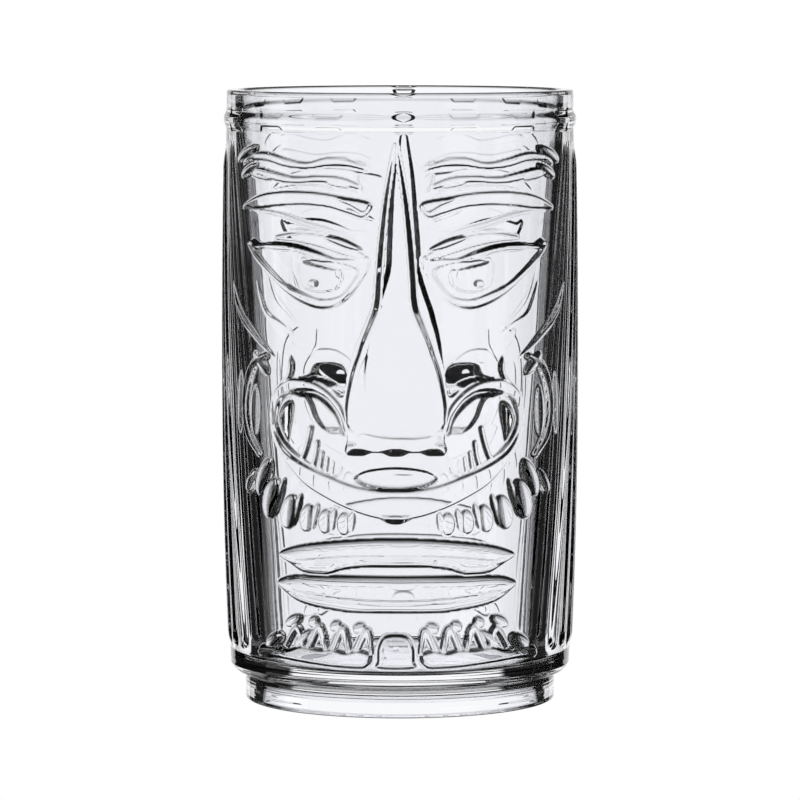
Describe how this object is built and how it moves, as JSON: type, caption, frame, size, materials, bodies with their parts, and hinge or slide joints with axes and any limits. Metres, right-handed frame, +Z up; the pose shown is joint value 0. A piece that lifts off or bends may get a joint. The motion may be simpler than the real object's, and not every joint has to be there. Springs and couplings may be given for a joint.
{
  "type": "tiki tumbler",
  "caption": "Clear pressed-glass tumbler with a thick base, round foot, notched headband and the same carved mask face on its front and back.",
  "frame": {"origin": "centre of the resting face under the foot", "axes": "+Z up towards the drinking rim, the front face looks along -Y, +X is to the right of a person looking at the front face"},
  "size_m": [0.0856, 0.0895, 0.1465],
  "materials": {
    "glass": "clear colourless pressed glass, fire polished, smooth"
  },
  "bodies": {
    "root": {"tumbler_wall": "glass", "solid_base": "glass", "foot_ring": "glass", "headband": "glass", "rim_lip": "glass", "front_nose": "glass", "back_nose": "glass", "front_nostrils": "glass", "back_nostrils": "glass", "front_forehead_ridges": "glass", "back_forehead_ridges": "glass", "front_eyebrows": "glass", "back_eyebrows": "glass", "front_eyelids": "glass", "back_eyelids": "glass", "front_eye_rims": "glass", "back_eye_rims": "glass", "front_irises": "glass", "back_irises": "glass", "front_cheek_spikes": "glass", "back_cheek_spikes": "glass", "front_moustache_ribbon": "glass", "back_moustache_ribbon": "glass", "front_cheek_flutes": "glass", "back_cheek_flutes": "glass", "front_philtrum_oval": "glass", "back_philtrum_oval": "glass", "front_moustache_fringe": "glass", "back_moustache_fringe": "glass", "front_upper_lip": "glass", "back_upper_lip": "glass", "front_lower_lip": "glass", "back_lower_lip": "glass", "front_beard": "glass", "back_beard": "glass", "right_ear_and_hair": "glass", "left_ear_and_hair": "glass"}
  },
  "joints": []
}
